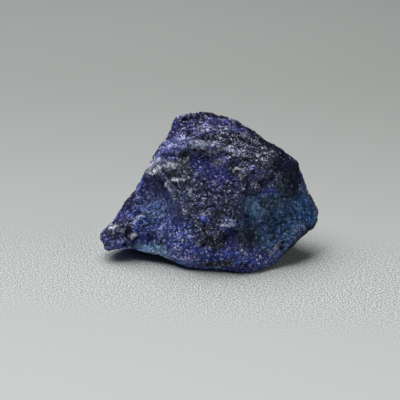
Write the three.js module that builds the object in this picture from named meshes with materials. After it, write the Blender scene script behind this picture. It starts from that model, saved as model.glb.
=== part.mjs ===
// A rough, broken piece of massive afghanite, a blue felspathoid, lying as it would on a table.
//
// The stone broke out of its vein along rough fracture faces. Its main face looks forward (-Y) and leans back; a
// crown slopes up to the top, a spur runs down to the left (-X), a shell-shaped hollow takes up the right (+X), and
// it stands on a few worn flats. It grew and broke as one piece, so it is one solid.
//
// How it is made: corner points are joined by flat facets, front and back, that meet along a rim. The facets are
// cut small, hollows are scooped out of them, the arrises are worn, and the whole skin is roughened.
//
// Millimetres, +Z up. The origin is under the middle of the stone, on the surface that it rests on.
import * as THREE from "three";
import { ConvexHull } from "three/addons/math/ConvexHull.js";
import { ImprovedNoise } from "three/addons/math/ImprovedNoise.js";

// Driving dimensions.
const LENGTH = 37; // from the tip of the spur to the right-hand corner
const CORE = [-1, 12, 8]; // a point deep inside, from which every corner can be seen
const FACET_EDGE = 1.2; // longest edge of the small facets
const WEAR_PASSES = 1; // how far the arrises are worn round
const FLOOR = 0; // height below which the underside is worn off flat
const ROUGHNESS = [
  { wave: 6.5, height: 0.3 }, // broad swells
  { wave: 2.6, height: 0.2 }, // chips
  { wave: 1.3, height: 0.1 }, // grain
];

// The rim is where the front meets the back. Points are [x, y, z], clockwise as seen from the front.
const rim = [
  // up the spur, on the left
  [-18.3, 7.2, 3.3],
  [-17.7, 7.9, 4.4],
  [-16.0, 8.2, 6.3],
  [-13.6, 9.1, 9.5],
  [-12.0, 9.7, 12.0],
  [-10.6, 10.3, 14.7],
  [-8.9, 11.3, 17.2],
  [-7.2, 12.3, 19.7],
  // along the crown
  [-6.7, 12.9, 21.3],
  [-5.7, 13.6, 23.1],
  [-3.7, 14.0, 22.7],
  [-1.5, 14.3, 23.3],
  [0.5, 14.2, 23.2],
  [3.9, 13.9, 22.5],
  // down the shoulder, on the right
  [6.3, 13.4, 21.1],
  [8.6, 12.7, 19.5],
  [11.3, 12.1, 18.0],
  [13.0, 12.2, 16.9],
  [15.2, 11.5, 15.2],
  [15.8, 11.6, 12.7],
  [17.0, 11.7, 10.3],
  [18.0, 11.3, 7.9],
  [18.6, 10.7, 6.6],
  [18.4, 9.6, 5.0],
  // under the right-hand corner
  [16.7, 7.1, 4.3],
  [14.7, 5.6, 3.2],
  [13.2, 4.2, 2.2],
  [10.7, 1.8, 1.0],
  [8.8, 0.6, 0.5],
  // the toe, and the hem that rises from it to the spur
  [6.6, 0.0, 0.0],
  [4.0, 0.1, 0.4],
  [0.2, 0.8, 0.6],
  [-3.1, 1.4, 0.7],
  [-5.5, 2.5, 0.9],
  [-7.2, 3.2, 1.2],
  [-8.5, 4.1, 1.7],
  [-10.6, 4.7, 1.8],
  [-13.0, 5.3, 2.3],
  [-15.2, 5.3, 2.4],
  [-17.1, 5.3, 2.2],
];

// Corners of the front's facets.
const front = [
  // crown, which faces up
  [-6.2, 11.1, 19.5],
  [-3.7, 11.6, 21.1],
  [-0.3, 11.8, 21.4],
  [3.4, 11.0, 20.4],
  [6.7, 10.0, 18.8],
  // brow, the ledge under the crown
  [-7.6, 9.6, 18.0],
  [-4.8, 9.0, 19.0],
  [-2.5, 7.8, 18.8],
  [1.2, 7.6, 18.8],
  [4.5, 7.3, 18.0],
  [7.8, 6.9, 16.4],
  [11.0, 8.0, 15.8],
  [13.4, 9.9, 15.4],
  // dark hollow under the brow
  [-3.9, 7.5, 16.7],
  [-0.7, 7.5, 16.9],
  [1.2, 6.3, 15.0],
  // ridge on the left, and the smooth band beside it
  [-9.5, 8.8, 15.3],
  [-6.8, 7.4, 15.6],
  [-5.4, 5.0, 13.4],
  [-9.5, 8.4, 12.7],
  [-6.5, 4.8, 10.1],
  [-4.1, 2.8, 7.6],
  [-2.8, 2.9, 9.8],
  // belly
  [-0.7, 4.0, 12.4],
  [2.8, 4.4, 13.1],
  [-1.0, 1.9, 9.4],
  [2.8, 1.7, 8.4],
  [0.2, 0.2, 5.6],
  [3.4, -0.2, 4.7],
  // step down into the right-hand hollow
  [5.3, 5.6, 14.8],
  [6.1, 4.1, 12.7],
  [5.6, 2.8, 10.1],
  [4.7, 1.4, 7.3],
  // right-hand hollow
  [7.3, 5.2, 11.6],
  [7.1, 4.3, 9.0],
  [6.3, 3.1, 5.4],
  [10.3, 6.1, 10.7],
  [11.0, 5.0, 7.4],
  [8.8, 3.3, 5.0],
  [13.6, 7.8, 10.7],
  [15.3, 7.7, 7.9],
  [15.4, 5.8, 5.8],
  [12.3, 3.2, 4.1],
  [9.4, 1.2, 2.7],
  [6.1, 0.1, 2.7],
  // above that hollow
  [8.8, 6.1, 14.3],
  [12.0, 7.8, 13.9],
  [14.1, 9.8, 13.5],
  [16.1, 10.2, 10.3],
  // blue flank under the band
  [-11.6, 7.2, 9.1],
  [-8.8, 6.0, 8.6],
  [-7.1, 3.7, 5.9],
  [-9.8, 4.8, 4.0],
  [-6.1, 2.7, 3.2],
  [-3.6, 1.2, 2.5],
  // block at the end of the spur
  [-15.2, 5.5, 5.6],
  [-13.0, 5.4, 6.8],
  [-11.9, 5.4, 4.8],
  [-14.0, 4.8, 3.8],
  [-16.7, 5.7, 3.8],
];

// Corners of the back's facets, from the underside up.
const back = [
  // underside, before it is hollowed out
  [6.0, 2.2, -0.6],
  [2.4, 2.8, -0.4],
  [9.8, 4.6, -0.4],
  [-4.5, 6.5, -0.2],
  [3.0, 8.5, -0.5],
  [9.0, 10.5, -0.5],
  [-10.5, 9.0, 0.2],
  [-3.0, 12.5, -0.5],
  [-15.0, 9.6, 1.0],
  [-12.0, 12.5, -0.5],
  [-7.5, 16.0, -0.6],
  [-1.5, 17.8, -0.6],
  [5.5, 17.0, -0.5],
  [10.5, 14.8, -0.6],
  // lower edge of the back
  [-12.0, 15.5, 1.5],
  [-5.0, 19.5, 1.0],
  [4.0, 20.0, 1.2],
  [11.0, 17.5, 1.5],
  [15.0, 12.5, 3.0],
  // back of the spur
  [-17.0, 9.6, 2.6],
  [-15.9, 10.8, 4.4],
  [-13.2, 12.6, 7.5],
  // middle of the back
  [-9.5, 16.5, 7.0],
  [-2.0, 21.0, 7.5],
  [6.0, 20.5, 7.0],
  [12.5, 16.5, 7.5],
  [16.0, 13.5, 7.0],
  // upper back
  [-7.5, 15.5, 13.0],
  [-1.0, 19.0, 14.0],
  [6.0, 18.5, 13.0],
  [12.0, 15.0, 13.0],
  [-3.5, 16.5, 19.0],
  [2.0, 17.5, 19.0],
  [8.0, 15.5, 16.5],
];

// Shell-shaped hollows, each the dent that a ball outside the stone leaves: its centre and its radius.
const scoops = [
  { centre: [12.5, -4.5, 11.0], radius: 11.3 }, // right-hand hollow
  { centre: [-11.5, 1.2, 15.0], radius: 8.7 }, // smooth band beside the ridge
  { centre: [-14.0, 25.0, 14.0], radius: 11.5 }, // left of the back
  { centre: [13.0, 27.0, 6.0], radius: 10.6 }, // right of the back
  { centre: [-7.0, 9.5, -14.0], radius: 15.8 }, // left of the underside
  { centre: [6.5, 9.5, -16.0], radius: 17.3 }, // right of the underside
];

// The stone's facets, as points and triangles. Corners are joined to those beside them as seen from the core: their
// directions lie on a ball, and the ball's convex hull says which three make a facet.
function makeShell() {
  const core = new THREE.Vector3(...CORE);
  const points = [...rim, ...front, ...back].map((p) => new THREE.Vector3(...p));
  const directions = points.map((p) => p.clone().sub(core).normalize());
  const number = new Map(directions.map((direction, i) => [direction, i]));
  const triangles = new ConvexHull().setFromPoints(directions).faces.map((face) => {
    const ends = [face.edge, face.edge.next, face.edge.prev];
    const [a, b, c] = ends.map((edge) => number.get(edge.head().point));
    return [a, b, c];
  });
  return { points, triangles };
}

// Halves every edge longer than the limit, again and again, until none is left.
function cutSmall({ points, triangles }, longest) {
  for (;;) {
    const middles = new Map();
    const middleOf = (a, b) => {
      if (points[a].distanceTo(points[b]) <= longest) return null;
      const key = Math.min(a, b) + "-" + Math.max(a, b);
      if (!middles.has(key)) {
        middles.set(key, points.push(points[a].clone().lerp(points[b], 0.5)) - 1);
      }
      return middles.get(key);
    };
    triangles = triangles.flatMap((t) => cutTriangle(t, middleOf, points));
    if (!middles.size) return { points, triangles };
  }
}

function cutTriangle([a, b, c], middleOf, points) {
  const [ab, bc, ca] = [middleOf(a, b), middleOf(b, c), middleOf(c, a)];
  const cuts = [ab, bc, ca].filter((m) => m !== null).length;
  if (cuts === 0) return [[a, b, c]];
  if (cuts === 3) return [[a, ab, ca], [ab, b, bc], [ca, bc, c], [ab, bc, ca]];
  // Turned so that a-b is cut and, where two edges are cut, c-a isn't.
  const turned = [[a, b, c, ab, bc, ca], [b, c, a, bc, ca, ab], [c, a, b, ca, ab, bc]];
  const [p, q, r, pq, qr] = turned.find((t) => t[3] !== null && t[5] === null);
  if (cuts === 1) return [[p, pq, r], [pq, q, r]];
  const isShorter = points[p].distanceTo(points[qr]) < points[pq].distanceTo(points[r]);
  const rest = isShorter ? [[p, pq, qr], [p, qr, r]] : [[p, pq, r], [pq, qr, r]];
  return [[pq, q, qr], ...rest];
}

function scoopOut({ points }) {
  for (const { centre, radius } of scoops) {
    const middle = new THREE.Vector3(...centre);
    for (const p of points) {
      const out = p.clone().sub(middle);
      if (out.length() < radius) p.copy(middle).addScaledVector(out.normalize(), radius);
    }
  }
}

function neighboursOf({ points, triangles }) {
  const near = points.map(() => new Set());
  for (const [a, b, c] of triangles) {
    near[a].add(b).add(c);
    near[b].add(c).add(a);
    near[c].add(a).add(b);
  }
  return near;
}

// Wears the arrises: each pass moves every point part of the way to the middle of its neighbours.
function wear(shell, passes) {
  const share = 0.4;
  const near = neighboursOf(shell);
  for (let pass = 0; pass < passes; pass += 1) {
    const moved = shell.points.map((p, i) => {
      const middle = new THREE.Vector3();
      near[i].forEach((j) => middle.add(shell.points[j]));
      return p.clone().lerp(middle.divideScalar(near[i].size), share);
    });
    shell.points = moved;
  }
}

function normalsOf({ points, triangles }) {
  const normals = points.map(() => new THREE.Vector3());
  for (const [a, b, c] of triangles) {
    const u = points[b].clone().sub(points[a]);
    const v = points[c].clone().sub(points[a]);
    const n = u.cross(v);
    for (const i of [a, b, c]) normals[i].add(n);
  }
  return normals.map((n) => n.normalize());
}

// Lifts and sinks the skin by layers of noise, each with its own wavelength and height.
function roughen(shell, layers) {
  const noise = new ImprovedNoise();
  const normals = normalsOf(shell);
  shell.points.forEach((p, i) => {
    let lift = 0;
    for (const { wave, height } of layers) {
      lift += height * noise.noise(p.x / wave, p.y / wave + wave, p.z / wave);
    }
    p.addScaledVector(normals[i], lift);
  });
}

// Wears the low points flat, brings the stone to its length and puts the origin under its middle.
function standAtOrigin(shell) {
  const box = new THREE.Box3().setFromPoints(shell.points);
  const scale = LENGTH / (box.max.x - box.min.x);
  const middle = box.getCenter(new THREE.Vector3());
  for (const p of shell.points) {
    const height = Math.max(p.z - FLOOR, 0);
    p.set(p.x - middle.x, p.y - middle.y, height).multiplyScalar(scale);
  }
}

function makeStone() {
  const shell = cutSmall(makeShell(), FACET_EDGE);
  scoopOut(shell);
  wear(shell, WEAR_PASSES);
  roughen(shell, ROUGHNESS);
  standAtOrigin(shell);
  const geometry = new THREE.BufferGeometry().setFromPoints(shell.points);
  geometry.setIndex(shell.triangles.flat());
  geometry.computeVertexNormals();
  const material = new THREE.MeshStandardMaterial({
    color: new THREE.Color(0x2a2c5c),
    roughness: 0.45,
    metalness: 0,
    flatShading: true,
  });
  const mesh = new THREE.Mesh(geometry, material);
  mesh.name = "afghanite_stone";
  return mesh;
}

const specimen = new THREE.Group();
specimen.add(makeStone());

export default specimen;
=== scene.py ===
# %% [markdown]
# # A rough piece of massive afghanite
#
# This lesson gives a broken blue stone its looks. The stone is one natural piece, about as long as the end
# joint of a thumb, so there is one mesh to make and one material to mix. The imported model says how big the
# stone is and where it stands, and everything here is placed from its box.

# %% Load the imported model
import math

import bpy
import numpy as np
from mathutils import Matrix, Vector, noise


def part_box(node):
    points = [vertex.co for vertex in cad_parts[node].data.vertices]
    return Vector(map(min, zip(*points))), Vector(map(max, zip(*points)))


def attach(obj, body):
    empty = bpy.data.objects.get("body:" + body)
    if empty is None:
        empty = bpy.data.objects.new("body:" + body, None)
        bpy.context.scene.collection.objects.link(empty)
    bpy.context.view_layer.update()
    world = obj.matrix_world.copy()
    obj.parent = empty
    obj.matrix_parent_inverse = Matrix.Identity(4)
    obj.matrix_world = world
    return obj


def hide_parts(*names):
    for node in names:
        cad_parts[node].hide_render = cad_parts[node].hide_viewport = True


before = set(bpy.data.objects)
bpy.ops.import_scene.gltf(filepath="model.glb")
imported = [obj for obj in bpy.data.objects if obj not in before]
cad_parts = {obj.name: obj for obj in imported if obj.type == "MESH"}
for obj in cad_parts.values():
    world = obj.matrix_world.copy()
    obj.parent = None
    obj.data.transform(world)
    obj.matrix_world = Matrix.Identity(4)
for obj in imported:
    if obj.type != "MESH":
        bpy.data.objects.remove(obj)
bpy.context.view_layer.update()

MM = 0.001
NOISE_SEED = 4  # with a seed set, the noise is the same every time
noise.seed_set(NOISE_SEED)
low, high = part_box("afghanite_stone")
size = high - low
print("the stone measures", [round(side / MM, 1) for side in size], "mm")


def at(right, back, up):
    """The point that lies these shares of the way across, through and up the stone's box."""
    return Vector((low.x + right * size.x, low.y + back * size.y, low.z + up * size.z))


# %% [markdown]
# ## The camera
#
# A small specimen is looked at from the front and a little above, through a long lens, which keeps its
# proportions true. The camera aims at the middle of the main face. Its distance is a number of stone
# lengths, so the picture stays filled in the same way whatever the stone's size.

# %% Camera
CAMERA_TILT = math.radians(22)
CAMERA_LENGTHS_AWAY = 6.276
LENS = 125
MAIN_FACE = (0.457, 0.222, 0.484)  # as shares of the stone's box

aim = at(*MAIN_FACE)
camera_data = bpy.data.cameras.new("camera")
camera_data.lens = LENS
camera_data.clip_start = 10 * MM
camera = bpy.data.objects.new("camera", camera_data)
bpy.context.scene.collection.objects.link(camera)
towards_camera = Vector((0, -math.cos(CAMERA_TILT), math.sin(CAMERA_TILT)))
camera.location = aim + towards_camera * CAMERA_LENGTHS_AWAY * size.x
camera.rotation_euler = (math.pi / 2 - CAMERA_TILT, 0, 0)
bpy.context.scene.camera = camera
print("the camera is", round((camera.location - aim).length / MM), "mm from the stone")

# %% [markdown]
# ## A shorthand for shader sums
#
# The paper and the stone both get their colours from sums on noise. Wiring many small Math nodes by hand is
# hard to read back, so one small class stands for a socket, and a plain sum on it adds the node. A few
# helpers add the other nodes that the two materials need.


# %% Sums on sockets
class Wire:
    """One socket of the material being made. Sums and products on it add Math nodes."""

    tree = None

    def __init__(self, socket):
        self.socket = socket

    @classmethod
    def node(cls, kind, sockets, output=0, **settings):
        """Adds a node of that kind. Its settings are set first, then the values or links of its sockets."""
        node = cls.tree.nodes.new("ShaderNode" + kind)
        for name, value in settings.items():
            setattr(node, name, value)
        for name, value in sockets.items():
            cls.join(value, node.inputs[name])
        return cls(node.outputs[output])

    @classmethod
    def join(cls, value, socket):
        """Links a wire to a socket, or sets the socket's value."""
        if isinstance(value, Wire):
            cls.tree.links.new(value.socket, socket)
        else:
            socket.default_value = value

    def sum(self, operation, other, turned=False):
        """A sum with another wire or number, which comes first if the sum is turned round."""
        first, second = (other, self) if turned else (self, other)
        return Wire.node("Math", {0: first, 1: second}, operation=operation)

    def __add__(self, other):
        return self.sum("ADD", other)

    def __radd__(self, other):
        return self.sum("ADD", other, turned=True)

    def __sub__(self, other):
        return self.sum("SUBTRACT", other)

    def __rsub__(self, other):
        return self.sum("SUBTRACT", other, turned=True)

    def __mul__(self, other):
        return self.sum("MULTIPLY", other)

    def __rmul__(self, other):
        return self.sum("MULTIPLY", other, turned=True)


# %% Vectors and colours
WHITE = (1, 1, 1, 1)
HALF = (0.5, 0.5, 0.5)


def vector(operation, first, second, output="Vector"):
    """A sum on two vectors. A dot product's output is Value, because it is one number."""
    return Wire.node("VectorMath", {0: first, 1: second}, output, operation=operation)


def scaled(first, factor):
    """A vector or colour times one number."""
    return Wire.node("VectorMath", {0: first, "Scale": factor}, operation="SCALE")


def blend(factor, under, over):
    """Colour over mixed on to colour under. A Mix node's colours are inputs 6 and 7, and output 2."""
    return Wire.node("Mix", {0: factor, 6: under, 7: over}, output=2, data_type="RGBA")


def channel(colour, name):
    """One channel of a colour, as a number."""
    return Wire.node("SeparateColor", {0: colour}, output=name)


# %% Noise and fades
CLOUD_LOW = 0.3
CLOUD_HIGH = 0.7


def cloud(place, wave, detail=2.0, output="Fac"):
    """Soft noise with a wavelength in millimetres. Its other output, Color, is three noises in one."""
    return Wire.node("TexNoise", {"Vector": place, "Scale": 1 / wave, "Detail": detail}, output)


def fade(value, start, end):
    """0 where a value is at its start, 1 at its end, and smooth in between."""
    sockets = {"Value": value, "From Min": start, "From Max": end}
    return Wire.node("MapRange", sockets, interpolation_type="SMOOTHSTEP")


def spread(cloudy):
    """Soft noise keeps near its middle. This draws it out to the full reach from 0 to 1."""
    return fade(cloudy, CLOUD_LOW, CLOUD_HIGH)


# %% Start a material
def start_material(name):
    """An empty material, and its shader node."""
    material = bpy.data.materials.new(name)
    material.use_nodes = True
    Wire.tree = material.node_tree
    return material, Wire.tree.nodes["Principled BSDF"]


def object_place():
    """Where a point lies on its piece, in millimetres."""
    return scaled(Wire.node("TexCoord", {}, output="Object"), 1 / MM)


def count_nodes(finish):
    """Prints how many nodes the material has once that part of its finish is in."""
    print("with", finish, "the material has", len(Wire.tree.nodes), "nodes")


# %% [markdown]
# ## The floor
#
# The stone lies on a big sheet of pale grey paper. Its colour gets darker towards the back, as painted shade
# for the light falling off there. Dust lies on it as a fine grain: thick in a band that runs past the stone,
# and thin elsewhere. Both could be painted on an image, but sums on the place of each point stay sharp at
# any size.

# %% Floor
FLOOR_SIDE = 60 * size.x
# colours of the paper, darker towards the back as painted shade, and the depths in millimetres between which
# it darkens
NEAR_PAPER_PAINTED_LIT = (0.905, 0.955, 0.937, 1)
FAR_PAPER_PAINTED_SHADE = (0.372, 0.385, 0.370, 1)
NEAR_DEPTH = -180
FAR_DEPTH = 115
# grain of the dust in millimetres, and how strongly it shows outside its band, and inside it on top of that
DUST_GRAIN = 0.24
THIN_DUST = 0.08
THICK_DUST = 1.1
# the way across the band, how far its middle lies in front, and how far from there it ends and is full
ACROSS_BAND = (0.14, 1.0, 0.0)
BAND_FORWARD = 10.5
BAND_END = 24
BAND_FULL = 6

bpy.ops.object.select_all(action="DESELECT")
bpy.ops.mesh.primitive_plane_add(size=FLOOR_SIDE, location=(0, 0, low.z))
floor = bpy.context.object
floor.name = "floor"

paper_material, paper = start_material("pale_paper")
paper_place = object_place()
depth = Wire.node("SeparateXYZ", {0: paper_place}, output="Y")
# painted shade: the paper's colour darkens towards the back
paper_with_painted_shade = blend(fade(depth, NEAR_DEPTH, FAR_DEPTH), NEAR_PAPER_PAINTED_LIT, FAR_PAPER_PAINTED_SHADE)
from_band = vector("DOT_PRODUCT", paper_place, ACROSS_BAND, output="Value") + BAND_FORWARD
off_band = Wire.node("Math", {0: from_band}, operation="ABSOLUTE")
thickness = THIN_DUST + THICK_DUST * fade(off_band, BAND_END, BAND_FULL)
dust = thickness * (spread(cloud(paper_place, DUST_GRAIN, 1.0)) - 0.5)
Wire.join(scaled(paper_with_painted_shade, 1 + dust), paper.inputs["Base Color"])
paper.inputs["Roughness"].default_value = 0.9
paper.inputs["Specular IOR Level"].default_value = 0.2
floor.data.materials.append(paper_material)
count_nodes("its dust")
print("the floor is", round(FLOOR_SIDE, 2), "m wide")

# %% [markdown]
# ## The light
#
# A broken stone shows its relief best under one main light. Here a wide oblong softbox hangs high above it,
# behind and to the left. So the tops of the grains are bright, the hollows stay dark, and a soft shadow
# falls forwards and to the right. A weak, warm softbox on the right keeps that side from going black, and
# the room adds a faint blue light. The plain view setting keeps the stone's deep blues as they are mixed.


# %% Lights
LIT_MIDDLE = (0.5, 0.5, 0.3)  # as shares of the stone's box


def add_softbox(name, place, sides, power, colour):
    """A light that faces the stone. Its place and two sides are in stone lengths, its power in watts."""
    data = bpy.data.lights.new(name, "AREA")
    data.color = colour
    data.shape = "RECTANGLE"
    data.size = sides[0] * size.x
    data.size_y = sides[1] * size.x
    data.energy = power
    light = bpy.data.objects.new(name, data)
    light.location = Vector(place) * size.x
    middle = at(*LIT_MIDDLE)
    light.rotation_euler = (middle - light.location).to_track_quat("-Z", "Y").to_euler()
    bpy.context.scene.collection.objects.link(light)
    print(name, "is", round((light.location - middle).length / MM), "mm from the stone")


add_softbox("top_softbox", place=(-2.5, 2.4, 9.0), sides=(12.0, 8.0), power=1.57, colour=(1, 1, 1))
add_softbox("side_softbox", place=(6.0, -2.0, 3.0), sides=(5.0, 5.0), power=0.09, colour=(1, 0.87, 0.72))

# %% Room
ROOM_COLOUR = (0.60, 0.78, 1.0, 1)
ROOM_STRENGTH = 0.035

world = bpy.data.worlds.new("room")
world.use_nodes = True
room = world.node_tree.nodes["Background"]
room.inputs["Color"].default_value = ROOM_COLOUR
room.inputs["Strength"].default_value = ROOM_STRENGTH
bpy.context.scene.world = world
bpy.context.scene.view_settings.view_transform = "Standard"
print("the room's light has a strength of", ROOM_STRENGTH)

# %% [markdown]
# ## A fine mesh
#
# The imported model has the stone's true outline, but its skin is only roughly broken, and its faces are too
# big for small chips. Its mesh stays untouched, so a copy is made and its corners are merged. A voxel
# remesh closes it and lays small even faces over it, which subdividing long thin facets wouldn't do. A
# little smoothing takes off the steps that voxels leave.

# %% Fine mesh
VOXEL = 0.18 * MM
MERGE_GAP = 0.001 * MM
SMOOTH_PASSES = 3

cad_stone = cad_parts["afghanite_stone"]
bpy.ops.object.select_all(action="DESELECT")
cad_stone.select_set(True)
bpy.context.view_layer.objects.active = cad_stone
bpy.ops.object.duplicate()
stone = bpy.context.object
stone.name = "rough_stone"
stone.parent = None
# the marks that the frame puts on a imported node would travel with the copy
for mark in list(stone.keys()):
    del stone[mark]

bpy.ops.object.mode_set(mode="EDIT")
bpy.ops.mesh.select_all(action="SELECT")
bpy.ops.mesh.remove_doubles(threshold=MERGE_GAP)
bpy.ops.object.mode_set(mode="OBJECT")
remesh = stone.modifiers.new("even_faces", "REMESH")
remesh.mode = "VOXEL"
remesh.voxel_size = VOXEL
bpy.ops.object.modifier_apply(modifier=remesh.name)
smooth = stone.modifiers.new("voxel_steps_off", "SMOOTH")
smooth.iterations = SMOOTH_PASSES
bpy.ops.object.modifier_apply(modifier=smooth.name)
mesh = stone.data
print("the fine mesh has", len(mesh.vertices), "points and", len(mesh.polygons), "faces")

# %% [markdown]
# ## Sculpt the main forms
#
# Massive afghanite breaks along the borders of its crystals: big fracture planes first, then chips, then a
# sugary skin of single grains. Ledges, ribs and hollows come first. A sculptor would draw each one with one
# stroke of a brush that lifts or sinks the skin along its normals. A brush needs a hand, so each stroke is
# written down here as a height, a width and the few points that it passes through. Most of the points were
# picked, and a program then printed where they lie on the stone. The rest were listed one by one.

# %% Strokes
STROKES = [
    # height in millimetres, below 0 for a hollow; half width in millimetres; points as shares of the box
    # crown, with the pale ledge under it and the dark undercut below the ledge
    (0.45, 0.8, [(0.42, 0.41, 0.83), (0.48, 0.41, 0.82), (0.54, 0.40, 0.82)]),
    (-0.45, 0.7, [(0.39, 0.39, 0.77), (0.48, 0.37, 0.75), (0.58, 0.37, 0.78)]),
    (-0.4, 0.5, [(0.38, 0.62, 0.95), (0.41, 0.51, 0.89), (0.48, 0.46, 0.86), (0.60, 0.47, 0.83)]),
    (-0.2, 0.5, [(0.52, 0.52, 0.89), (0.62, 0.51, 0.85), (0.71, 0.50, 0.80), (0.80, 0.51, 0.74)]),
    (-0.5, 0.7, [(0.67, 0.37, 0.75), (0.74, 0.35, 0.69), (0.82, 0.41, 0.66)]),
    # corners and edges of the outline
    (0.45, 1.0, [(0.38, 0.65, 0.98), (0.42, 0.67, 0.98)]),
    (-0.2, 1.0, [(0.34, 0.62, 0.95), (0.31, 0.60, 0.89)]),
    (-0.3, 0.8, [(0.50, 0.66, 0.99), (0.55, 0.66, 0.98), (0.60, 0.65, 0.97)]),
    (0.3, 1.6, [(0.82, 0.56, 0.74), (0.91, 0.55, 0.64), (0.92, 0.55, 0.56)]),
    (0.3, 1.3, [(0.99, 0.50, 0.30), (0.92, 0.29, 0.21), (0.86, 0.20, 0.16)]),
    (0.6, 0.8, [(0.98, 0.42, 0.23), (0.99, 0.45, 0.26)]),
    (0.2, 1.4, [(0.02, 0.36, 0.19), (0.01, 0.35, 0.15), (0.02, 0.28, 0.11)]),
    # crust and the ribs beside it
    (0.6, 0.8, [(0.23, 0.46, 0.59), (0.26, 0.44, 0.60), (0.30, 0.41, 0.605)]),
    (0.4, 0.5, [(0.30, 0.40, 0.54), (0.34, 0.36, 0.59), (0.39, 0.27, 0.61)]),
    # smooth band and the edge to the right of it
    (-0.5, 1.6, [(0.26, 0.43, 0.57), (0.29, 0.36, 0.47), (0.34, 0.20, 0.40), (0.39, 0.12, 0.30)]),
    (0.5, 0.7, [(0.31, 0.38, 0.53), (0.34, 0.28, 0.47), (0.39, 0.14, 0.40)]),
    # step down to the right-hand hollow
    (-0.4, 1.1, [(0.67, 0.25, 0.59), (0.67, 0.26, 0.47), (0.67, 0.23, 0.35), (0.68, 0.17, 0.25)]),
    (0.4, 0.8, [(0.64, 0.23, 0.57), (0.63, 0.20, 0.46), (0.64, 0.18, 0.33)]),
    # right-hand hollow: its upper edge, its floor, its deep end and the ripples where it broke
    (0.15, 0.5, [(0.68, 0.27, 0.49), (0.77, 0.31, 0.50), (0.85, 0.37, 0.47), (0.92, 0.48, 0.48)]),
    (-0.5, 1.8, [(0.74, 0.28, 0.35), (0.79, 0.27, 0.28)]),
    (-0.9, 1.2, [(0.67, 0.17, 0.26), (0.70, 0.16, 0.21)]),
    (0.14, 0.3, [(0.76, 0.31, 0.42), (0.81, 0.30, 0.36), (0.82, 0.28, 0.27), (0.81, 0.23, 0.20)]),
    (0.14, 0.3, [(0.81, 0.33, 0.44), (0.86, 0.34, 0.39), (0.89, 0.34, 0.32), (0.90, 0.27, 0.25)]),
    (0.14, 0.3, [(0.84, 0.36, 0.45), (0.90, 0.40, 0.38), (0.94, 0.40, 0.30), (0.94, 0.36, 0.24)]),
    (0.4, 0.7, [(0.71, 0.11, 0.14), (0.78, 0.17, 0.15), (0.85, 0.22, 0.19), (0.92, 0.30, 0.25)]),
    # above that hollow
    (0.4, 0.5, [(0.62, 0.27, 0.63), (0.67, 0.30, 0.67), (0.69, 0.32, 0.69)]),
    (-0.6, 0.9, [(0.74, 0.29, 0.59), (0.78, 0.33, 0.61)]),
    # belly and the ridges below it
    (0.5, 0.8, [(0.47, 0.10, 0.41), (0.48, 0.09, 0.39)]),
    (0.5, 0.9, [(0.58, 0.10, 0.36), (0.64, 0.16, 0.29), (0.66, 0.11, 0.21), (0.67, 0.04, 0.14)]),
    (0.4, 0.7, [(0.37, 0.13, 0.27), (0.46, 0.06, 0.25), (0.53, 0.05, 0.30), (0.60, 0.12, 0.35)]),
    (-0.5, 0.8, [(0.48, 0.03, 0.22), (0.55, 0.03, 0.25), (0.60, 0.08, 0.29)]),
    (-0.5, 0.6, [(0.51, 0.03, 0.26), (0.53, 0.01, 0.20), (0.51, 0.03, 0.13)]),
    # blue flank, its lower hem and the crevice between it and the spur
    (-0.6, 1.2, [(0.22, 0.25, 0.19), (0.27, 0.21, 0.18), (0.30, 0.18, 0.22)]),
    (0.3, 0.6, [(0.23, 0.23, 0.09), (0.30, 0.17, 0.10), (0.39, 0.08, 0.06)]),
    (-0.5, 0.5, [(0.11, 0.25, 0.11), (0.12, 0.26, 0.21), (0.15, 0.28, 0.30), (0.18, 0.32, 0.36)]),
    (0.35, 0.5, [(0.145, 0.26, 0.25), (0.18, 0.29, 0.33)]),
    # back: a ledge with its undercut, a long ridge, a rippled hollow, a plain one, a rib and a crack
    (0.45, 0.8, [(0.30, 0.72, 0.62), (0.40, 0.83, 0.64), (0.50, 0.89, 0.63), (0.60, 0.89, 0.60)]),
    (-0.5, 0.7, [(0.27, 0.74, 0.56), (0.38, 0.85, 0.57), (0.50, 0.91, 0.56), (0.62, 0.90, 0.53)]),
    (0.4, 1.0, [(0.75, 0.70, 0.70), (0.68, 0.87, 0.55), (0.62, 0.94, 0.40), (0.58, 0.97, 0.25)]),
    (-0.8, 2.0, [(0.80, 0.75, 0.45), (0.85, 0.75, 0.33)]),
    (0.15, 0.35, [(0.74, 0.84, 0.48), (0.80, 0.80, 0.40), (0.80, 0.80, 0.28)]),
    (0.15, 0.35, [(0.78, 0.78, 0.52), (0.86, 0.74, 0.40), (0.88, 0.71, 0.30)]),
    (-0.7, 2.2, [(0.38, 0.92, 0.36), (0.45, 0.96, 0.30)]),
    (0.4, 0.7, [(0.20, 0.62, 0.45), (0.25, 0.79, 0.30), (0.30, 0.86, 0.15)]),
    (-0.4, 0.4, [(0.50, 0.82, 0.80), (0.56, 0.86, 0.70), (0.55, 0.90, 0.60)]),
]


# %% Measure to a path
def read(collection, name):
    """One vector of every point as rows of numbers."""
    rows = np.empty(len(collection) * 3)
    collection.foreach_get(name, rows)
    return rows.reshape(-1, 3)


def distance_to_line(points, start, end):
    """How far every point lies from the stretch between two ends."""
    along = end - start
    share = np.clip((points - start) @ along / (along @ along), 0, 1)
    return np.linalg.norm(points - start - share[:, None] * along, axis=1)


def distance_to_path(points, path):
    """How far every point lies from the nearest stretch of a path."""
    spans = [distance_to_line(points, start, end) for start, end in zip(path, path[1:])]
    return np.min(spans, axis=0)


# %% Sculpt
SWELL = 0.12  # rise of the whole skin in millimetres, to make up for the chips broken out of it later


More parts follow.
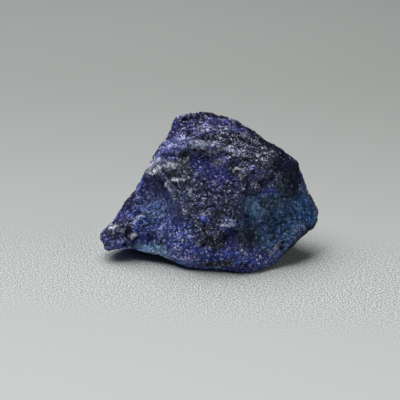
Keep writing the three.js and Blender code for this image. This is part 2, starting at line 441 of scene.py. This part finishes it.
def sculpt():
    """Raises or sinks the skin along every stroke, most on the stroke's line and less away from it."""
    points = read(mesh.vertices, "co")
    out = read(mesh.vertices, "normal")
    rise = np.full(len(points), SWELL)
    for height, half_width, line in STROKES:
        path = [np.array(at(*shares)) for shares in line]
        rise += height * np.exp(-((distance_to_path(points, path) / (half_width * MM)) ** 2))
    mesh.vertices.foreach_set("co", (points + out * rise[:, None] * MM).ravel())
    mesh.update()
    print("strokes lift the skin by", round(rise.max(), 2), "and sink it by", round(-rise.min(), 2), "mm")


sculpt()

# %% [markdown]
# ## What grew where
#
# Massive afghanite isn't one colour. Blue afghanite, violet lazurite, slaty and green-grey grains grow in
# patches and veins, with white crusts here and there. Some patches are no mineral at all: near-black painted
# shade on rims, creases and undercuts, and pale painted glints and sheen. A node for every patch would make
# the material slow and hard to follow, so the patches are laid on to the mesh itself, as two colour
# attributes that the material reads. First comes a list of the minerals, named for how they look, with the
# painted shade among them.

# %% Minerals
MINERALS = {
    # colour; then from 0 to 1: share of grains with a pale face and painted glints, roughness, relief of the
    # skin, and fibres
    "ultramarine": ((0.084, 0.113, 0.510), (0.28, 0.42, 0.9, 0.1)),
    "navy": ((0.040, 0.054, 0.235), (0.08, 0.35, 0.5, 0.1)),
    "bright_blue": ((0.115, 0.150, 0.800), (0.35, 0.42, 0.7, 0.1)),
    "sugary_blue": ((0.082, 0.128, 0.600), (0.55, 0.42, 0.9, 0.1)),
    "violet": ((0.080, 0.088, 0.385), (0.20, 0.42, 0.8, 0.1)),
    "purple": ((0.060, 0.060, 0.240), (0.20, 0.40, 0.9, 0.0)),
    "lavender": ((0.122, 0.137, 0.440), (0.50, 0.42, 0.7, 0.0)),
    "crown": ((0.170, 0.185, 0.490), (0.55, 0.34, 1.0, 0.0)),
    "shoulder": ((0.062, 0.070, 0.150), (0.45, 0.32, 1.0, 0.0)),
    # also laid on the shoulder, partly as a painted sheen
    "silver": ((0.180, 0.195, 0.400), (0.75, 0.32, 0.8, 0.0)),
    "grit": ((0.068, 0.082, 0.200), (0.32, 0.38, 1.0, 0.0)),
    "brown_grey": ((0.085, 0.090, 0.180), (0.30, 0.42, 1.0, 0.0)),
    "charcoal": ((0.050, 0.066, 0.120), (0.24, 0.38, 0.9, 0.0)),
    "moss_grey": ((0.096, 0.125, 0.172), (0.30, 0.40, 0.9, 0.1)),
    "dusk": ((0.088, 0.104, 0.270), (0.10, 0.38, 0.5, 0.1)),
    "slate": ((0.105, 0.165, 0.440), (0.24, 0.42, 0.7, 0.8)),
    "pale_teal": ((0.210, 0.385, 0.700), (0.12, 0.42, 0.5, 0.4)),
    "grey_teal": ((0.060, 0.136, 0.320), (0.15, 0.40, 0.8, 0.4)),
    "teal": ((0.030, 0.115, 0.330), (0.10, 0.38, 0.6, 0.9)),
    "deep_teal": ((0.045, 0.110, 0.290), (0.20, 0.40, 0.6, 0.7)),
    "dark_green": ((0.045, 0.085, 0.150), (0.10, 0.38, 0.8, 0.3)),
    "hollow": ((0.088, 0.135, 0.228), (0.15, 0.38, 0.8, 0.0)),
    "turquoise": ((0.300, 0.500, 0.850), (0.30, 0.45, 0.5, 0.1)),
    "grey_crust": ((0.240, 0.272, 0.430), (0.35, 0.50, 0.6, 0.1)),
    "white_crust": ((0.800, 0.810, 1.000), (0.65, 0.55, 0.6, 0.1)),
    # no mineral: a near-black laid on rims, creases and undercuts as painted shade, and on one dark facet
    "black_and_painted_shade": ((0.0045, 0.0105, 0.045), (0.03, 0.50, 0.4, 0.0)),
}

# %% [markdown]
# ## The ground
#
# The ground is the mix that the whole stone is made of, the unseen back included. Wide soft noise decides
# where each of its minerals lies, as in the real rock, where they grew side by side in no order.

# %% Ground minerals
GROUND = [
    # mineral, width of its patches in millimetres, and the noise level, from -1 to 1, that it grows above
    ("violet", 6.0, 0.10),
    ("grit", 7.0, 0.05),
    ("slate", 6.5, 0.25),
    ("deep_teal", 7.0, 0.35),
    ("charcoal", 3.4, 0.35),
    ("grey_crust", 4.0, 0.62),
]

# %% [markdown]
# ## Patches and veins
#
# On the ground lie the patches and veins that make this stone this one. Each lies round a middle line, and
# later ones lie over earlier ones. The points of the lines came about like those of the strokes above: most
# were printed by a program, and the rest were listed one by one.

# %% Patches and veins
# some growths are painted shade, and some painted glints and sheen: each is marked where it stands
GROWTHS = [
    # mineral, half width in millimetres, and the middle line as shares of the stone's box
    # crown and shoulder
    ("crown", 4.6, [(0.36, 0.60, 0.93), (0.50, 0.62, 0.92), (0.66, 0.56, 0.84)]),
    ("shoulder", 3.6, [(0.62, 0.46, 0.80), (0.74, 0.49, 0.76), (0.84, 0.54, 0.69)]),
    # silver here is partly silvery grains and partly a painted sheen, where the shoulder catches the light
    ("silver", 0.7, [(0.58, 0.41, 0.81), (0.64, 0.42, 0.79)]),
    ("purple", 1.6, [(0.34, 0.58, 0.89), (0.40, 0.58, 0.92), (0.45, 0.61, 0.94)]),
    # painted shade: near-black along the top rim and the upper right edge, where the skin turns from the light
    ("black_and_painted_shade", 0.45, [(0.36, 0.63, 0.97), (0.50, 0.66, 0.99), (0.60, 0.65, 0.97), (0.68, 0.60, 0.89)]),
    ("black_and_painted_shade", 0.8, [
        (0.70, 0.59, 0.88), (0.76, 0.57, 0.82), (0.82, 0.55, 0.77), (0.87, 0.53, 0.70), (0.92, 0.55, 0.64),
    ]),
    ("violet", 0.7, [(0.53, 0.62, 0.96), (0.60, 0.60, 0.93), (0.67, 0.59, 0.88)]),
    ("lavender", 0.4, [(0.54, 0.56, 0.92), (0.58, 0.58, 0.92), (0.62, 0.56, 0.89)]),
    ("lavender", 0.35, [(0.39, 0.55, 0.91), (0.46, 0.54, 0.91)]),
    ("navy", 0.6, [(0.34, 0.62, 0.95), (0.35, 0.58, 0.91)]),
    ("lavender", 1.5, [(0.29, 0.46, 0.76), (0.32, 0.48, 0.81), (0.36, 0.49, 0.84)]),
    ("bright_blue", 0.6, [(0.27, 0.45, 0.73), (0.32, 0.40, 0.74), (0.35, 0.39, 0.75)]),
    ("navy", 0.3, [(0.29, 0.44, 0.75), (0.34, 0.40, 0.77)]),
    # ledge, and what lies above and below it
    # painted shade: a near-black line in the crease above the ledge
    ("black_and_painted_shade", 0.4, [(0.45, 0.45, 0.86), (0.48, 0.47, 0.87), (0.54, 0.47, 0.86)]),
    ("grey_crust", 0.9, [(0.43, 0.40, 0.83), (0.48, 0.42, 0.83), (0.53, 0.43, 0.84)]),
    ("charcoal", 1.1, [(0.40, 0.38, 0.78), (0.45, 0.37, 0.77), (0.51, 0.37, 0.77)]),
    ("ultramarine", 0.7, [(0.53, 0.37, 0.78), (0.57, 0.37, 0.79)]),
    # middle of the main face
    ("grit", 4.0, [(0.42, 0.18, 0.50), (0.50, 0.16, 0.45), (0.57, 0.20, 0.50), (0.60, 0.26, 0.62)]),
    ("moss_grey", 1.7, [(0.32, 0.39, 0.67), (0.39, 0.34, 0.70), (0.44, 0.28, 0.64)]),
    ("violet", 2.0, [(0.46, 0.34, 0.70), (0.53, 0.30, 0.64), (0.58, 0.32, 0.69)]),
    ("lavender", 0.6, [(0.55, 0.36, 0.77), (0.58, 0.35, 0.75)]),
    # a painted glint: a white point where the light catches the grains
    ("white_crust", 0.45, [(0.59, 0.36, 0.76), (0.59, 0.36, 0.77)]),
    ("grey_crust", 0.7, [(0.53, 0.34, 0.73), (0.54, 0.34, 0.73)]),
    ("charcoal", 1.0, [(0.60, 0.33, 0.71), (0.64, 0.29, 0.67)]),
    ("white_crust", 0.27, [
        (0.64, 0.26, 0.63), (0.66, 0.28, 0.65), (0.68, 0.29, 0.66), (0.65, 0.30, 0.68), (0.62, 0.31, 0.70),
    ]),
    # crust at the left edge, and the ribs beside it
    ("white_crust", 1.2, [(0.23, 0.47, 0.61), (0.24, 0.46, 0.65), (0.27, 0.44, 0.68)]),
    ("grey_crust", 0.9, [(0.27, 0.44, 0.68), (0.33, 0.38, 0.71)]),
    ("white_crust", 0.5, [(0.23, 0.47, 0.62), (0.29, 0.42, 0.67), (0.35, 0.37, 0.70)]),
    ("charcoal", 0.6, [(0.26, 0.43, 0.59), (0.29, 0.41, 0.56), (0.28, 0.41, 0.52)]),
    ("grey_crust", 0.8, [(0.31, 0.36, 0.57), (0.34, 0.31, 0.54)]),
    ("charcoal", 0.3, [(0.33, 0.34, 0.58), (0.36, 0.30, 0.57)]),
    ("white_crust", 0.33, [(0.33, 0.35, 0.60), (0.36, 0.30, 0.61)]),
    ("white_crust", 0.4, [(0.30, 0.36, 0.55), (0.32, 0.32, 0.51)]),
    ("grey_crust", 0.45, [(0.30, 0.38, 0.50), (0.32, 0.33, 0.48)]),
    ("grey_crust", 0.22, [(0.31, 0.34, 0.46), (0.37, 0.18, 0.44)]),
    ("grey_crust", 0.22, [(0.33, 0.31, 0.48), (0.39, 0.17, 0.45)]),
    ("grey_crust", 0.5, [(0.40, 0.24, 0.59), (0.42, 0.19, 0.52)]),
    # smooth band, left flank and hem
    ("dusk", 2.0, [(0.23, 0.44, 0.54), (0.26, 0.40, 0.48), (0.31, 0.28, 0.41), (0.36, 0.16, 0.34)]),
    ("ultramarine", 0.9, [(0.17, 0.43, 0.47), (0.20, 0.45, 0.54)]),
    ("lavender", 0.5, [(0.16, 0.40, 0.44), (0.17, 0.43, 0.48)]),
    ("purple", 1.3, [(0.12, 0.39, 0.36), (0.16, 0.37, 0.39)]),
    # painted shade: near-black along the left edge, where the skin turns from the light
    ("black_and_painted_shade", 0.45, [(0.14, 0.45, 0.43), (0.11, 0.43, 0.37), (0.07, 0.42, 0.30)]),
    ("sugary_blue", 2.3, [(0.21, 0.27, 0.25), (0.30, 0.19, 0.26), (0.39, 0.10, 0.22), (0.43, 0.04, 0.17)]),
    ("slate", 1.8, [(0.22, 0.36, 0.39), (0.24, 0.29, 0.35), (0.27, 0.31, 0.40)]),
    ("ultramarine", 1.0, [(0.19, 0.25, 0.20), (0.22, 0.24, 0.15)]),
    ("turquoise", 0.9, [(0.19, 0.24, 0.09), (0.26, 0.21, 0.11), (0.32, 0.15, 0.06)]),
    ("slate", 0.5, [(0.37, 0.10, 0.08), (0.41, 0.07, 0.06), (0.53, 0.04, 0.03)]),
    ("lavender", 0.6, [(0.35, 0.13, 0.15), (0.42, 0.06, 0.07)]),
    # spur
    ("grit", 2.0, [(0.01, 0.31, 0.14), (0.05, 0.30, 0.20), (0.10, 0.26, 0.25)]),
    ("violet", 0.7, [(0.02, 0.29, 0.15), (0.07, 0.24, 0.14)]),
    ("purple", 0.8, [(0.07, 0.36, 0.26), (0.11, 0.31, 0.29)]),
    ("white_crust", 0.6, [(0.04, 0.34, 0.23), (0.07, 0.30, 0.25)]),
    ("white_crust", 0.45, [(0.14, 0.25, 0.19), (0.15, 0.25, 0.21)]),
    ("silver", 0.5, [(0.14, 0.27, 0.28), (0.17, 0.26, 0.31), (0.19, 0.28, 0.33)]),
    # belly and bottom
    ("ultramarine", 2.2, [(0.43, 0.04, 0.13), (0.57, 0.01, 0.13), (0.66, 0.01, 0.09)]),
    ("lavender", 0.8, [(0.33, 0.13, 0.11), (0.37, 0.09, 0.10), (0.41, 0.05, 0.09), (0.44, 0.04, 0.10)]),
    ("silver", 0.5, [(0.38, 0.15, 0.43), (0.41, 0.13, 0.42), (0.44, 0.10, 0.40)]),
    ("grey_crust", 0.55, [(0.47, 0.08, 0.43), (0.48, 0.08, 0.42)]),
    ("bright_blue", 0.7, [(0.47, 0.07, 0.40), (0.49, 0.06, 0.39)]),
    ("grey_crust", 0.35, [(0.43, 0.11, 0.36), (0.46, 0.08, 0.35)]),
    ("brown_grey", 1.2, [(0.48, 0.05, 0.28), (0.52, 0.01, 0.23)]),
    ("grey_crust", 0.3, [(0.52, 0.04, 0.29), (0.53, 0.04, 0.28)]),
    ("grey_crust", 0.35, [(0.44, 0.06, 0.24), (0.46, 0.04, 0.21)]),
    ("moss_grey", 0.6, [(0.51, 0.04, 0.22), (0.54, 0.04, 0.20)]),
    # painted shade: near-black in the small hollow of the belly
    ("black_and_painted_shade", 0.3, [(0.49, 0.03, 0.25), (0.51, 0.03, 0.26)]),
    ("navy", 1.0, [(0.60, 0.08, 0.30), (0.60, 0.03, 0.23)]),
    ("silver", 0.45, [(0.56, 0.06, 0.35), (0.61, 0.07, 0.35)]),
    ("lavender", 0.5, [(0.56, 0.06, 0.32), (0.61, 0.13, 0.33)]),
    ("brown_grey", 0.7, [(0.48, 0.04, 0.06), (0.59, 0.01, 0.08)]),
    ("purple", 0.8, [(0.65, 0.01, 0.05), (0.69, 0.02, 0.08)]),
    # right-hand hollow
    ("grey_teal", 5.0, [(0.74, 0.27, 0.35), (0.84, 0.30, 0.30), (0.80, 0.22, 0.20)]),
    ("teal", 2.4, [(0.92, 0.43, 0.40), (0.95, 0.43, 0.31), (0.98, 0.44, 0.24)]),
    ("deep_teal", 1.5, [(0.92, 0.49, 0.49), (0.96, 0.51, 0.40)]),
    ("pale_teal", 1.4, [(0.71, 0.28, 0.45), (0.74, 0.29, 0.41), (0.71, 0.26, 0.36)]),
    ("hollow", 0.9, [(0.76, 0.31, 0.43), (0.81, 0.33, 0.42)]),
    ("dark_green", 1.6, [(0.84, 0.37, 0.52), (0.89, 0.42, 0.48)]),
    ("bright_blue", 0.7, [(0.75, 0.30, 0.53), (0.78, 0.32, 0.51)]),
    ("lavender", 0.2, [(0.69, 0.28, 0.48), (0.78, 0.32, 0.47), (0.87, 0.38, 0.44)]),
    ("pale_teal", 0.2, [(0.83, 0.33, 0.40), (0.87, 0.33, 0.33), (0.92, 0.33, 0.28)]),
    ("pale_teal", 0.2, [(0.87, 0.36, 0.41), (0.91, 0.38, 0.35), (0.96, 0.42, 0.27)]),
    ("hollow", 1.5, [(0.68, 0.16, 0.24), (0.71, 0.18, 0.21)]),
    ("dusk", 0.8, [(0.66, 0.23, 0.51), (0.65, 0.23, 0.43), (0.65, 0.21, 0.36)]),
    # round that hollow
    ("grit", 1.4, [(0.76, 0.34, 0.67), (0.80, 0.34, 0.59), (0.70, 0.27, 0.56)]),
    ("dusk", 0.9, [(0.69, 0.28, 0.63), (0.74, 0.30, 0.63)]),
    # the near-black facet at the top right: dark partly in its own colour and partly as painted shade
    ("black_and_painted_shade", 1.9, [(0.83, 0.44, 0.68), (0.87, 0.47, 0.61), (0.89, 0.47, 0.54)]),
    ("purple", 0.5, [(0.91, 0.53, 0.59), (0.92, 0.53, 0.54)]),
    ("navy", 1.0, [(0.85, 0.20, 0.15), (0.90, 0.27, 0.19), (0.95, 0.36, 0.20)]),
    # painted shade: near-black along the lower right rim and the right edge, where the skin turns under
    ("black_and_painted_shade", 0.5, [
        (0.82, 0.14, 0.08), (0.86, 0.18, 0.11), (0.93, 0.30, 0.17), (0.96, 0.36, 0.20), (1.00, 0.44, 0.23),
    ]),
    ("black_and_painted_shade", 0.35, [(0.96, 0.57, 0.45), (0.98, 0.55, 0.40), (1.00, 0.54, 0.35), (1.01, 0.50, 0.30)]),
    ("ultramarine", 1.2, [(0.68, 0.04, 0.12), (0.74, 0.06, 0.09), (0.79, 0.12, 0.09)]),
    # painted glints: lavender on the deep blue, where the light sparkles
    ("lavender", 0.5, [(0.70, 0.08, 0.11), (0.74, 0.09, 0.11)]),
    ("moss_grey", 0.5, [(0.64, 0.04, 0.18), (0.67, 0.05, 0.14)]),
    ("grey_crust", 0.4, [(0.71, 0.12, 0.14), (0.76, 0.16, 0.15)]),
    ("grey_crust", 0.4, [(0.78, 0.12, 0.11), (0.81, 0.17, 0.16)]),
    ("silver", 0.35, [(0.65, 0.03, 0.17), (0.67, 0.02, 0.16)]),
    ("charcoal", 0.5, [(0.64, 0.13, 0.31), (0.65, 0.10, 0.23), (0.67, 0.07, 0.19)]),
    ("slate", 0.45, [(0.77, 0.08, 0.06), (0.85, 0.18, 0.12)]),
    # back
    ("dusk", 2.2, [(0.80, 0.75, 0.45), (0.85, 0.75, 0.33)]),
    # painted shade: near-black in the undercut below the back ledge
    ("black_and_painted_shade", 0.6, [(0.38, 0.85, 0.57), (0.50, 0.91, 0.56), (0.62, 0.90, 0.53)]),
    ("grey_crust", 0.6, [(0.34, 0.76, 0.63), (0.44, 0.86, 0.64)]),
    ("moss_grey", 1.6, [(0.38, 0.92, 0.36), (0.45, 0.96, 0.30)]),
    ("white_crust", 0.35, [(0.66, 0.90, 0.48), (0.62, 0.94, 0.40)]),
    ("navy", 1.6, [(0.20, 0.80, 0.20), (0.32, 0.90, 0.14)]),
    ("lavender", 0.4, [(0.20, 0.62, 0.45), (0.25, 0.79, 0.30)]),
]

# %% [markdown]
# ## Lay the minerals on
#
# A patch with a clean edge would look painted. So soft noise moves every point before its distance to a
# patch is taken: a wide stray makes the border wander, and two finer ones fray it. Small patches stray
# less, so that they keep their places.


# %% Fields of noise
def noise_at(points, wave, shift):
    """Soft noise from -1 to 1 at every point. The shift picks another stretch of it."""
    return np.array([noise.noise(Vector(point) / wave + Vector((shift, 0, 0))) for point in points])


def wandered(points, wave, reach):
    """Every point, moved by up to about that reach."""
    return points + reach * np.array([noise.noise_vector(Vector(point) / wave) for point in points])


def step(values, start, end):
    """0 where values are at the start, 1 at the end, and smooth in between."""
    share = np.clip((values - start) / (end - start), 0, 1)
    return share * share * (3 - 2 * share)


# %% Fray the places
STRAYS = [(2.6, 1.2), (0.8, 0.6), (0.35, 0.35)]  # wave and reach in millimetres

places = read(mesh.vertices, "co") / MM
frayed = places
for wave, reach in STRAYS:
    frayed = wandered(frayed, wave, reach)
print("points stray by up to", round(np.linalg.norm(frayed - places, axis=1).max(), 2), "mm")

# %% Lay on the ground
NOISE_SHIFT = 10
BORDER_SOFTNESS = 0.12  # of the noise level, on both sides of the border


def laid_on(under, mineral, mask):
    """The paint with a mineral mixed over it wherever its mask is above 0."""
    return under + mask[:, None] * (np.hstack(MINERALS[mineral]) - under)


paint = np.tile(np.hstack(MINERALS["ultramarine"]), (len(places), 1))
for row, (mineral, wave, level) in enumerate(GROUND):
    field = noise_at(frayed, wave, NOISE_SHIFT * row)
    mask = step(field, level - BORDER_SOFTNESS, level + BORDER_SOFTNESS)
    paint = laid_on(paint, mineral, mask)
    print(mineral, "grows on", round(100 * mask.mean()), "% of the skin")

# %% Lay on the patches
LEAST_STRAY = 0.2
STRAY_PER_MM = 0.6
# a patch begins and is full at these numbers of half widths from its line
PATCH_BEGINS = 1.5
PATCH_FULL = 0.5

for mineral, half_width, line in GROWTHS:
    path = [np.array(at(*shares)) / MM for shares in line]
    strayed = places + min(1, LEAST_STRAY + STRAY_PER_MM * half_width) * (frayed - places)
    mask = step(distance_to_path(strayed, path) / half_width, PATCH_BEGINS, PATCH_FULL)
    paint = laid_on(paint, mineral, mask)
print("patches and veins:", len(GROWTHS))

# %% Keep them as attributes
RED_GREEN_BLUE = [0, 1, 2]
PALE_SHARE, ROUGHNESS, RELIEF, FIBRES = 3, 4, 5, 6


def store(name, columns):
    """Keeps four numbers of every point as a colour attribute."""
    attribute = mesh.color_attributes.new(name, "FLOAT_COLOR", "POINT")
    attribute.data.foreach_set("color", paint[:, columns].astype(np.float32).ravel())


# a colour attribute holds four numbers, and the skin has three, so its relief fills two of them
store("mineral_colour_and_painted_light", RED_GREEN_BLUE + [FIBRES])
store("mineral_skin", [PALE_SHARE, ROUGHNESS, RELIEF, RELIEF])
print("attributes:", [attribute.name for attribute in mesh.color_attributes])

# %% [markdown]
# ## Break it into chips
#
# Now the chips can be broken out of the skin, in four sizes. A Voronoi texture that takes its first
# distance off its second says how far each point is from the border of the cell that it lies in. A Displace
# modifier that lifts the skin by it makes flat sloping facets with sharp valleys, as a break between
# crystals does. The smooth minerals broke with little relief, so a vertex group holds the chips back by the
# relief of each mineral.

# %% Where the skin is rough
ROUGH_SKIN = "rough_skin"
rough_skin = stone.vertex_groups.new(name=ROUGH_SKIN)
for point, weight in enumerate(paint[:, RELIEF]):
    rough_skin.add([point], weight, "REPLACE")
print("mean relief of the skin:", round(paint[:, RELIEF].mean(), 2))

# %% Chips
CHIPS = [
    # size of a chip, and the height of its middle over its border, in millimetres
    (4.6, 0.8),
    (2.1, 0.7),
    (1.0, 0.45),
    (0.5, 0.26),
]
STILL_LEVEL = 0.15  # where the noise has this value, the skin stays where it is


def break_into_chips(chip, height):
    """Lifts every point by its distance to the border of the chip it lies on."""
    facets = bpy.data.textures.new("facets", type="VORONOI")
    facets.distance_metric = "DISTANCE_SQUARED"
    facets.weight_1 = -1
    facets.weight_2 = 1
    facets.noise_scale = chip * MM
    facets.use_clamp = False
    displace = stone.modifiers.new("chips", "DISPLACE")
    displace.texture = facets
    displace.texture_coords = "LOCAL"
    displace.mid_level = STILL_LEVEL
    displace.strength = height * MM
    displace.vertex_group = ROUGH_SKIN
    bpy.ops.object.modifier_apply(modifier=displace.name)
    bpy.data.textures.remove(facets)


for chip, height in CHIPS:
    before = read(mesh.vertices, "co")
    break_into_chips(chip, height)
    moved = np.linalg.norm(read(mesh.vertices, "co") - before, axis=1) / MM
    mean, most = round(moved.mean(), 3), round(moved.max(), 2)
    print("chips of", chip, "mm move the skin by", mean, "mm, and by", most, "mm at most")

# %% [markdown]
# ## Stand it on the floor
#
# The swell and the chips have pushed the flats that the stone rests on a little way below the floor. Those
# points are raised to it, which keeps the flats flat. Then the facets are shaded smooth inside and sharp at
# their borders.

# %% Flats and facets
FACET_ANGLE = math.radians(28)

points = read(mesh.vertices, "co")
print("points raised to the floor:", (points[:, 2] < low.z).sum())
points[:, 2] = np.maximum(points[:, 2], low.z)
mesh.vertices.foreach_set("co", points.ravel())
mesh.update()
bpy.ops.object.shade_smooth_by_angle(angle=FACET_ANGLE)

# %% [markdown]
# ## The stone's finish
#
# The finish is one material for the whole stone, because the minerals differ only in numbers that the
# attributes hold. A picture of a stone wrapped round it would stretch on its steep sides, so everything
# below is worked out from the place of each point.

# %% Read the minerals
stone_mineral, surface = start_material("afghanite")
place = object_place()
mineral_attribute = {"attribute_name": "mineral_colour_and_painted_light"}
skin_attribute = {"attribute_name": "mineral_skin"}
mineral_colour_and_painted_light = Wire.node("Attribute", {}, output="Color", **mineral_attribute)
fibres = Wire.node("Attribute", {}, output="Alpha", **mineral_attribute)
skin = Wire.node("Attribute", {}, output="Color", **skin_attribute)
pale_share = channel(skin, "Red")
roughness = channel(skin, "Green")
relief = channel(skin, "Blue")
count_nodes("the minerals")

# %% [markdown]
# ## Grains
#
# The skin is a crust of grains a quarter of a millimetre wide. They are too small to model, so a Voronoi
# texture parts the stone into cells, one for each. It gives every grain a middle and a random colour, whose
# channels serve as dice for its shade, its gloss and its tilt. Soft noise pushes the places about first,
# which makes the grains ragged.

# %% Grains
# width of a grain, and the wave and reach of the push that makes it ragged, in millimetres
GRAIN = 0.26
PUSH_WAVE = 0.8
PUSH_REACH = 0.4

push = vector("SUBTRACT", cloud(place, PUSH_WAVE, output="Color"), HALF)
grains = {"Vector": vector("ADD", place, scaled(push, PUSH_REACH)), "Scale": 1 / GRAIN}
grain_dice = Wire.node("TexVoronoi", grains, output="Color")
grain_middle = Wire.node("TexVoronoi", grains, output="Position")
count_nodes("the grains")

# %% [markdown]
# ## The body of a grain
#
# The mineral's colour is too even by itself. Blotches a millimetre wide lean it to violet, green or grey,
# and finer mottles and the grain's own shade make it uneven, more so on a rough mineral. Fibres are noise
# drawn out along one way, which gives the shell-shaped hollow its threads. Crests are painted paler and
# crevices darker, by how pointy the skin is: painted light and painted shade, as light falls on a broken
# stone.

# %% Tint
# blotches: their wave in millimetres, their brightness, and how much of them a smooth mineral takes, and a
# rough one on top of that
BLOTCH_WAVE = 1.0
BRIGHT_BLOTCHES = (2.0, 2.0, 2.0)
SMOOTH_TINT = 0.1
ROUGH_TINT = 0.35
# mottles: their wave in millimetres, how much they lighten, and how dark it is between them
MOTTLE_WAVE = 0.7
MOTTLE_LIGHT = 0.9
MOTTLE_DARK = 0.7

blotches = vector("MULTIPLY", cloud(place, BLOTCH_WAVE, output="Color"), BRIGHT_BLOTCHES)
tint = blend(SMOOTH_TINT + ROUGH_TINT * relief, WHITE, blotches)
mottle = spread(cloud(place, MOTTLE_WAVE, 4.0))
uneven = 1 + relief * (MOTTLE_LIGHT * mottle - MOTTLE_DARK)
grain_shade = 1 + relief * (channel(grain_dice, "Red") - 0.5)
count_nodes("the tint")

# %% Fibres, crests and crevices
FIBRE_WAVE = 0.35
FIBRE_CONTRAST = 1.2
FOUR_TIMES_TALLER = (1.0, 1.0, 0.25)
CREVICE_POINTINESS = 0.44
CREST_POINTINESS = 0.56
# painted shade in crevices and painted light on crests, by how pointy the skin is
PAINTED_CREVICE_SHADE = 0.25
PAINTED_CREST_LIGHT = 1.75

threads = spread(cloud(vector("MULTIPLY", place, FOUR_TIMES_TALLER), FIBRE_WAVE))
thread_shade = 1 + fibres * (FIBRE_CONTRAST * threads - FIBRE_CONTRAST / 2)
pointiness = Wire.node("NewGeometry", {}, output="Pointiness")
crest = fade(pointiness, CREVICE_POINTINESS, CREST_POINTINESS)
# painted light and shade: crests lighter, crevices darker
painted_crest_light_and_crevice_shade = PAINTED_CREVICE_SHADE + (PAINTED_CREST_LIGHT - PAINTED_CREVICE_SHADE) * crest
body = scaled(vector("MULTIPLY", mineral_colour_and_painted_light, tint), uneven * grain_shade * thread_shade * painted_crest_light_and_crevice_shade)
count_nodes("the body of the grains")

# %% [markdown]
# ## Pale flecks and painted glints
#
# Grains that broke along a crystal face look pale. The flecks are partly those grains and partly painted
# glints, pale spots where light would catch the grains. They lie in thin beds, so the noise that places them
# is drawn out sideways, and turned a little more for each millimetre to the right, which arches the beds over
# the stone. Crests, loose clumps and the minerals with a big pale share have more of them: each adds its
# weight to a sum, and a fleck shows where the sum is high. The weight of crests adds painted glints where
# light catches the edges. A fleck is a paler tint of its mineral.

# %% Flecks
BED_DIP = 0.035  # radians for each millimetre to the right
BEDDED = (0.4, 0.6, 1.0)
FLECK_WAVE = 0.2
CLUMP_WAVE = 1.3
CREST_GLINT_WEIGHT = 0.25
CLUMP_WEIGHT = 0.5
MINERAL_WEIGHT = 0.3
FLECK_BEGINS = 1.1
FLECK_FULL = 1.2
FLECK_WHITE = (0.86, 0.91, 1.0, 1)
FLECK_WHITENESS = 0.7
FLECK_GLOW = 4.0  # how much brighter a fleck's own tint is than its mineral

dip = BED_DIP * Wire.node("SeparateXYZ", {0: place}, output="X")
arched = Wire.node("VectorRotate", {"Vector": place, "Angle": dip}, rotation_type="Y_AXIS")
beds = cloud(vector("MULTIPLY", arched, BEDDED), FLECK_WAVE, 1.0)
clumps = cloud(place, CLUMP_WAVE, 3.0)
# flecks: partly pale grains, partly painted glints, with more of them on crests
ready = beds + CREST_GLINT_WEIGHT * crest + CLUMP_WEIGHT * clumps + MINERAL_WEIGHT * pale_share
flecks = fade(ready, FLECK_BEGINS, FLECK_FULL)
# the tint of a fleck, which is also the colour of a painted glint
fleck_and_glint_colour = blend(FLECK_WHITENESS, scaled(mineral_colour_and_painted_light, FLECK_GLOW), FLECK_WHITE)
Wire.join(blend(flecks, body, fleck_and_glint_colour), surface.inputs["Base Color"])
count_nodes("the flecks")

# %% [markdown]
# ## Gloss and tilt
#
# A fresh face of a crystal is glassy and its neighbours are dull. So a glassy coat is laid on some grains
# only, by their dice, and on more of them where the mineral has a big pale share. Every grain is also
# tilted its own way, by a bump that rises across it from its middle, so that the light catches each grain
# by itself.

# %% Gloss
# the luck at which a grain begins to be glassy and is fully so, in a mineral without pale faces
GLASS_BEGINS = 0.9
GLASS_FULL = 1.3

luck = channel(grain_dice, "Green")
glass = fade(luck, GLASS_BEGINS - pale_share, GLASS_FULL - pale_share)
Wire.join(glass, surface.inputs["Coat Weight"])
surface.inputs["Coat Roughness"].default_value = 0.2
surface.inputs["Coat IOR"].default_value = 1.6
Wire.join(roughness, surface.inputs["Roughness"])
surface.inputs["Specular IOR Level"].default_value = 0.15
count_nodes("the gloss")

# %% Tilt
STEEPNESS = 1.6

tilt = vector("SUBTRACT", grain_dice, HALF)
from_middle = vector("SUBTRACT", grains["Vector"], scaled(grain_middle, GRAIN))
facet = vector("DOT_PRODUCT", from_middle, tilt, output="Value")
bump = Wire.node("Bump", {"Height": facet * relief * STEEPNESS, "Distance": MM, "Strength": 1.0})
Wire.join(bump, surface.inputs["Normal"])

mesh.materials.clear()
mesh.materials.append(stone_mineral)
count_nodes("the tilt")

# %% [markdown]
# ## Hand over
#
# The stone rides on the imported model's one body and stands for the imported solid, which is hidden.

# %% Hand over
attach(stone, "root")
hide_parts("afghanite_stone")
